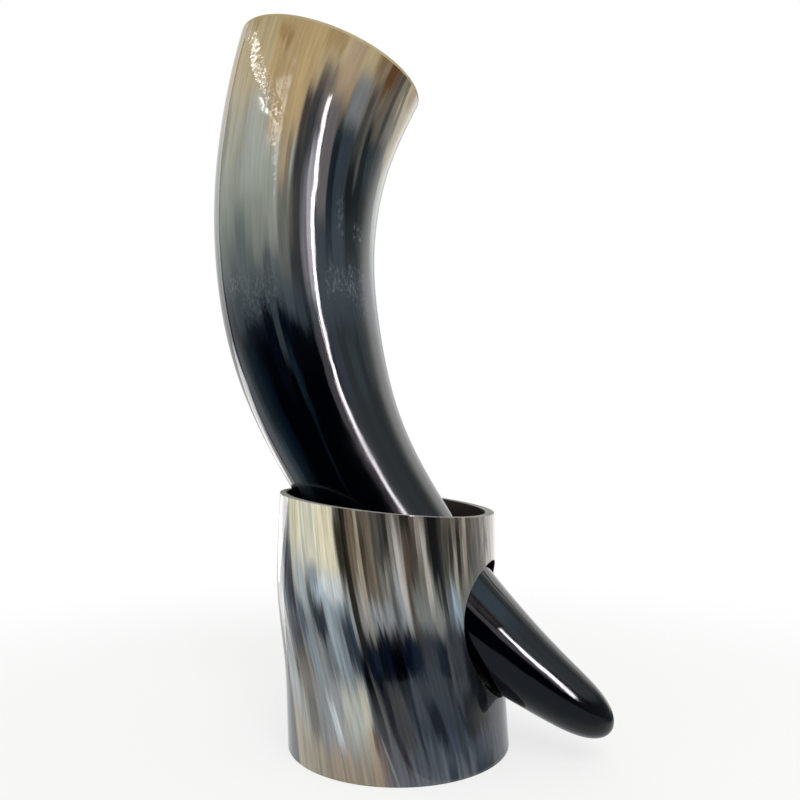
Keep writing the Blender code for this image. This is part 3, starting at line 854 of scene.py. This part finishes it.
def horn_radius(length):
    round_end = sqrt(max(0, 1 - max(0, length / HORN_LENGTH) ** TIP_BLUNTNESS))
    return through(HORN_RADII, length) * round_end


def hollow_radius(length):
    round_end = sqrt(max(0, 1 - max(0, length / HOLLOW_DEPTH) ** HOLLOW_BLUNTNESS))
    return (through(HORN_RADII, length) - through(HORN_WALLS, length)) * round_end


def ring_lean(length):
    """Lean of a ring, which follows the run but turns to the mouth's own slope near the mouth."""
    near_mouth = max(0, 1 - length / MOUTH_TURN_LENGTH)
    return horn_lean(length) + (MOUTH_LEAN - MOUTH_SLOPE) * near_mouth ** 2


# Outline of the cup's wall, as lengths along the horn and radii: up the hollow, over the lip and down
inside = [HOLLOW_DEPTH * sin(pi / 2 * i / HOLLOW_RINGS) ** HOLLOW_CROWDING
          for i in range(HOLLOW_RINGS, 0, -1)]
inside = [(length, hollow_radius(length)) for length in inside if length > 2 * LIP_ROUNDING]
inside[0] = (inside[0][0] * 0.9999, POLE_RADIUS)
inner_lip, outer_lip = hollow_radius(LIP_ROUNDING), horn_radius(LIP_ROUNDING)
swings = [pi / 2 * i / LIP_RINGS for i in range(LIP_RINGS + 1)]
lip = [(LIP_ROUNDING * (1 - sin(swing)) - LIP_OVERHANG, inner_lip + LIP_ROUNDING * (1 - cos(swing)))
       for swing in swings]
lip += [(LIP_EDGE * (1 - cos(swing)) - LIP_OVERHANG, outer_lip - LIP_EDGE * (1 - sin(swing)))
        for swing in swings]
body = [*BEHIND_LIP, *[RING_STEP * i for i in range(1, round(TIP_START / RING_STEP))]]
tip = [TIP_START + (HORN_LENGTH - TIP_START) * sin(pi / 2 * i / TIP_RINGS) for i in range(1, TIP_RINGS)]
outside = [(length, horn_radius(length)) for length in body + tip]
profile = inside + lip + outside + [(HORN_LENGTH, POLE_RADIUS)]

length, radius = profile[0]
bpy.ops.mesh.primitive_circle_add(vertices=HORN_SIDES, radius=radius, location=horn_axis(length),
                                  rotation=(0, -ring_lean(length), 0), calc_uvs=False)
cup = bpy.context.object
cup.name = "cup"
bpy.ops.object.transform_apply(location=True, rotation=True, scale=True)
bpy.ops.object.mode_set(mode="EDIT")
bpy.ops.mesh.select_mode(type="EDGE")
for (before, old_radius), (length, radius) in zip(profile, profile[1:]):
    centre = horn_axis(length)
    bpy.ops.mesh.extrude_region_move(TRANSFORM_OT_translate={"value": centre - horn_axis(before)})
    bpy.ops.transform.rotate(value=ring_lean(length) - ring_lean(before), orient_axis="Y",
                             center_override=centre)
    bpy.ops.transform.resize(value=(radius / old_radius,) * 3, center_override=centre)
bpy.ops.mesh.merge(type="COLLAPSE")
bpy.ops.mesh.select_all(action="DESELECT")
bpy.ops.mesh.select_non_manifold(extend=False, use_wire=False, use_boundary=True,
                                 use_multi_face=False, use_non_contiguous=False, use_verts=False)
bpy.ops.mesh.merge(type="COLLAPSE")
bpy.ops.mesh.select_all(action="SELECT")
bpy.ops.mesh.normals_make_consistent(inside=False)
bpy.ops.object.mode_set(mode="OBJECT")
smooth = cup.modifiers.new("smooth", "SUBSURF")
smooth.levels = smooth.render_levels = 1
bpy.ops.object.modifier_apply(modifier="smooth")
bpy.ops.object.shade_smooth()

lengths = np.linspace(-AXIS_OVERRUN, HORN_LENGTH, AXIS_POINTS)
axis = np.array([horn_axis(length) for length in lengths])
leans = np.array([horn_lean(length) for length in lengths])


def along_horn(points):
    """Angles from the front in degrees, lengths from the mouth and distances from the axis."""
    nearest = np.array([np.argmin(((axis - point) ** 2).sum(1)) for point in points])
    out, lean = points - axis[nearest], leans[nearest]
    away = out[:, 0] * np.cos(lean) + out[:, 2] * np.sin(lean)
    past = out[:, 0] * np.sin(lean) - out[:, 2] * np.cos(lean)
    return np.degrees(np.arctan2(away, -out[:, 1])), lengths[nearest] + past, np.hypot(away, out[:, 1])


angles, places, distances = along_horn(points_of(cup))
lay_grain(cup, angles, places * 1000)

CUP_GROUND = ((0, "#AC9C78"), (18, "#B4A380"), (30, "#B2A68C"), (42, "#A5A496"), (58, "#959990"),
              (76, "#858B83"), (90, "#686E6C"), (100, "#50575A"), (112, "#3C444A"), (120, "#131A22"),
              (128, "#04070D"), (150, "#010205"), (315, "#010205"))
CUP_STREAKS = (
    # Slate right half, brown-grey near the mouth, and the tan tongue beside it
    (68, 0, 10, -9, 18, "#7A6A57", 0.85),
    (62, 0, 33, 13, 42, "#5E5850", 0.9),
    (61, -5, 34, 30, 126, "#252C32", 0.95),
    (11, 6, 14, -9, 47, "#AC946C", 0.9),
    (18, 0, 3.5, 42, 70, "#998669", 0.8),
    (33, 0, 4, 12, 34, "#5C5048", 0.7),
    (30, -3, 5, 22, 112, "#36383A", 0.85),
    (21.5, -2, 1.5, 44, 84, "#4A3F36", 0.5),
    (24, 0, 3, 66, 90, "#5C5A52", 0.6),
    (18, 0, 3.5, 66, 106, "#5C5C58", 0.8),
    (26, 0, 1.2, 26, 100, "#34302E", 0.7),
    (32.5, 0, 1.0, 30, 96, "#1E2124", 0.7),
    # Mauve and lilac grey beside the strip lamp's line: the horn's grey with a painted glow of the strip
    # highlight
    (33, 0, 3.6, 56, 112, "#747379", 0.6),
    (35.2, 0, 1.9, 46, 116, "#A19EA8", 0.75),
    # Streaks of the right half
    (44, 0, 5, -9, 24, "#A48F76", 0.85),
    # Mauve grey right of the strip lamp's line: the horn's grey with a painted glow of the strip highlight
    (43, 0, 3.5, 26, 78, "#6A6466", 0.75),
    (48.5, 0, 2.6, 38, 98, "#0A111C", 0.85),
    (55, 0, 5, 8, 34, "#73777A", 0.85),
    (54.5, 0, 3.5, 34, 88, "#2C363F", 0.8),
    (71, 0, 12, 57, 100, "#04070A", 0.88),
    (59.5, 0, 1.4, 74, 100, "#27343D", 0.7),
    (73, 0, 1.0, 60, 98, "#16242A", 0.7),
    (63, 0, 2, 10, 60, "#3A3A38", 0.8),
    (62, 0, 3, 48, 78, "#060B10", 0.85),
    (66.5, 0, 2, 6, 58, "#55534C", 0.7),
    (70, 0, 2.5, 26, 76, "#0A1013", 0.85),
    (73, 0, 2.3, -9, 34, "#615B50", 0.8),
    (76, 0, 3, 34, 62, "#1D2E34", 0.7),
    (78, 0, 1.9, -9, 32, "#2F302C", 0.85),
    (82.5, 0, 2.5, -9, 36, "#65635E", 0.75),
    (84, 0, 3, 34, 92, "#03080C", 0.9),
    (98, 0, 8, -9, 40, "#ABA083", 0.8),
    (86, 18, 1.6, -9, 26, "#403D2E", 0.8),
    # Brown stains at the mouth
    (69, 0, 3, -9, 10, "#593612", 0.9),
    (74, 0, 2, -9, 6, "#5A4630", 0.7),
    (59, 0, 2.5, -9, 6, "#7C6444", 0.7),
    (95, 0, 4, -9, 6, "#8A6A38", 0.7),
    (2.5, 0, 5, 3, 9, "#937850", 0.7),
    (-22, 0, 4, 2, 6, "#94804F", 0.6),
    (31, 0, 6, -9, 6, "#977A4E", 0.6),
    # Silver left half
    (-4, 0, 9, 31, 66, "#A0A6A0", 0.7),
    (-24, 0, 4, 34, 60, "#A9A792", 0.5),
    (-31, 0, 2.5, 34, 56, "#75715E", 0.6),
    (12, 0, 3, 60, 92, "#93948C", 0.5),
    (1, 0, 4, 74, 95, "#868A82", 0.5),
    (-13, 0, 4.5, 74, 104, "#5A6365", 0.7),
    (-29, 0, 4, 76, 98, "#66706B", 0.5),
    (6, 0, 3, 92, 108, "#45484A", 0.7),
    # Ragged fingers where the black begins
    (-34, 0, 5, 106, 130, "#1C252D", 0.8),
    (-24, 0, 4, 108, 122, "#3E484E", 0.7),
    (18, 0, 3, 106, 122, "#454C50", 0.7),
    (24, 0, 2.5, 108, 124, "#3A424A", 0.7),
    (0, 0, 3, 112, 150, "#050912", 0.9),
    (6, 0, 2.2, 108, 136, "#363D41", 0.8),
    (10.5, 0, 2.2, 118, 146, "#040A14", 0.85),
    (9.5, 0, 2, 134, 158, "#14222C", 0.7),
    (37.2, -17.5, 1.2, 142, 192, "#0A141E", 0.7),
    # Navy sheen in the black, left and right of the strip lamp's line
    (-24, 0, 7, 124, 182, "#041A24", 0.85),
    (-16, 0, 4, 130, 176, "#010E1C", 0.8),
    (-31, 0, 3.5, 128, 180, "#18282F", 0.75),
    (-38, 0, 5.5, 126, 182, "#434C55", 0.75),
    (-29, 0, 4, 160, 184, "#2A3A45", 0.6),
    (42, 0, 3, 124, 158, "#171C2C", 0.8),
    (55, 0, 3, 136, 160, "#182429", 0.6),
    (67, 0, 3.5, 112, 156, "#252C2F", 0.6),
    (71, 0, 3, 114, 150, "#2A2E2E", 0.5),
    # Slate on the tip beside the stand's hole
    (50, 0, 9, 226, 268, "#1B2733", 0.8),
)
# Scuffs across the middle, ripples under the mouth, and the lower part that rubs against the stand
CUP_SCUFFS = ((56, 0, 12, 102, 114, 0.40), (74, 0, 5, 78, 86, 0.5), (57, 0, 3, 66, 84, 0.4),
              (-24, 0, 5, 98, 106, 0.6), (-4, 0, 16, 100, 116, 0.3), (72, 0, 8, 98, 122, 0.3))
CUP_SCALES = ((-34, 117, 7, 9, 25, 0.16), (-34, 117, 5, 25, 33, 0.11), (-34, 117, 3.5, 33, 42, 0.03),
              (11.8, 0, 3, 44, 68, 0.02))
CUP_RUBS = ((30, 0, 160, 170, 222, 0.08), (180, 0, 65, 160, 260, 0.26, 18),
            (-180, 0, 65, 160, 260, 0.26, 18))
CUP_BORE = ((0, "#B5A684"), (10, "#A8946C"), (30, "#8A7452"), (110, "#3A3128"), (235, "#1C1814"))
LIP_FACE = 0.0004
HOLLOW_END_SLACK = 0.001
cup.data.materials.append(polished_horn("polished_horn_dark_tip", CUP_GROUND, flow=0.0, spread=0.0,
                                        contrast=0.22, streaks=CUP_STREAKS, scuffs=CUP_SCUFFS,
                                        scales=CUP_SCALES, rubs=CUP_RUBS))
cup.data.materials.append(scraped_bore("cup_bore", CUP_BORE))
centres = middles_of(cup)
angles, places, distances = along_horn(centres)
from_lip = (centres - np.array(MOUTH_MIDDLE)) @ (-sin(MOUTH_SLOPE), 0, -cos(MOUTH_SLOPE))
walls = np.array([through(HORN_WALLS, place) for place in places])
depths = np.array([through(HORN_RADII, place) for place in places]) - distances
in_hollow = (depths > BORE_DEPTH * walls) & (places < HOLLOW_DEPTH + HOLLOW_END_SLACK)
inner = in_hollow | (from_lip < LIP_FACE)
cup.data.polygons.foreach_set("material_index", inner.astype(np.int32))
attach(cup, "cup")
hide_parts("drinking_horn")
